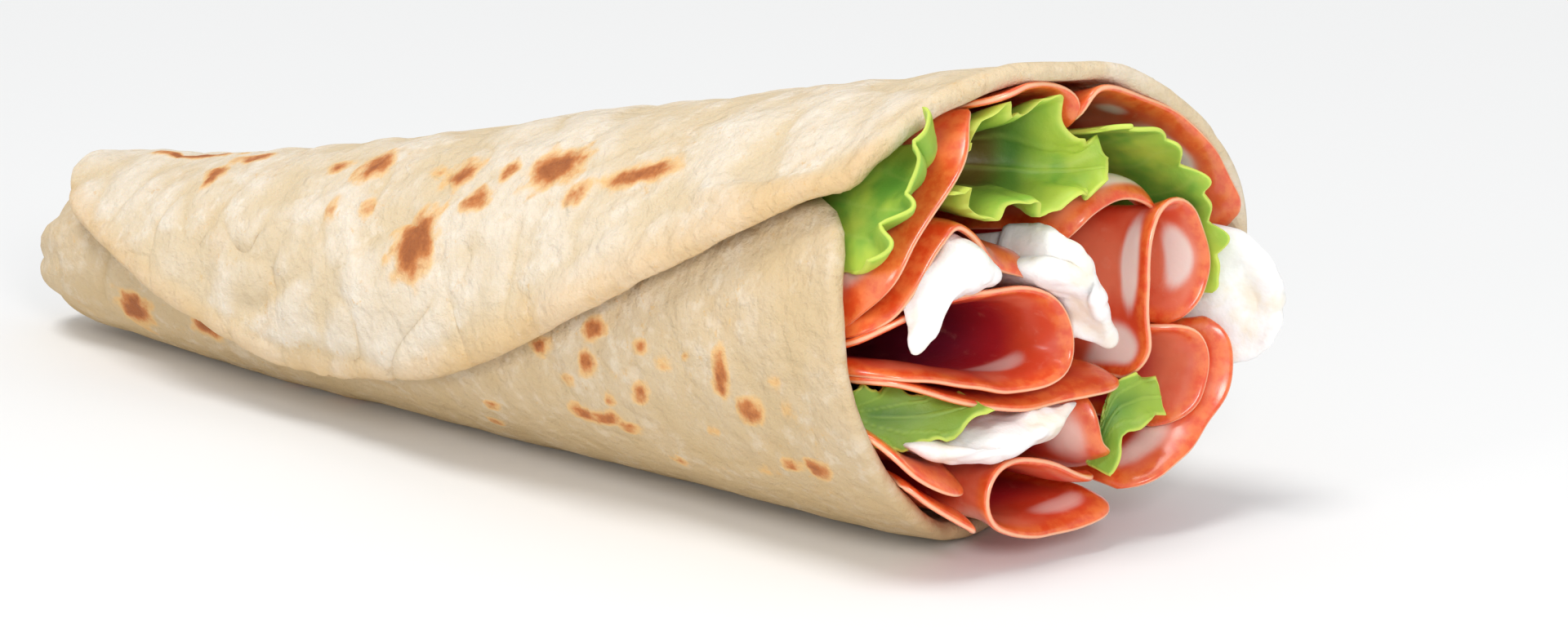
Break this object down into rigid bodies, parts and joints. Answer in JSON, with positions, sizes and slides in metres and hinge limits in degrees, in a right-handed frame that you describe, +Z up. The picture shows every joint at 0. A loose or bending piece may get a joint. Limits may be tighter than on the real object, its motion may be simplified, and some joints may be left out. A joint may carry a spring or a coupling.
{
  "type": "piadina",
  "caption": "Thin flatbread rolled into a cone round folded ham, lettuce leaves and soft white cheese, with a free flap edge and a tucked tail.",
  "frame": {"origin": "on the surface the roll rests on, under the middle of its bounding box", "axes": "+X along the roll towards its open mouth, +Z up, the free flap's edge on the -Y side"},
  "size_m": [0.2635, 0.0812, 0.0823],
  "materials": {
    "bread": "dry baked flatbread, pale cream with toasted brown spots",
    "ham": "moist cured ham, rust orange with darker red folds",
    "leaf": "fresh lettuce, yellow green with pale veins",
    "cheese": "soft moist white cheese"
  },
  "bodies": {
    "root": {"flatbread": "bread", "ham_lining_left": "ham", "ham_lining_right": "ham", "ham_left_arch": "ham", "ham_cradle": "ham", "ham_loop": "ham", "ham_band": "ham", "ham_arch": "ham", "ham_right_loop": "ham", "ham_right_fold": "ham", "ham_upright": "ham", "ham_lower_left": "ham", "ham_bottom_loop": "ham", "ham_bottom_outer": "ham", "ham_lower_right": "ham", "leaf_left": "leaf", "leaf_right": "leaf", "leaf_center": "leaf", "leaf_lower_left": "leaf", "leaf_lower_right": "leaf", "cheese_left": "cheese", "cheese_center": "cheese", "cheese_lower": "cheese", "cheese_right": "cheese"}
  },
  "joints": []
}
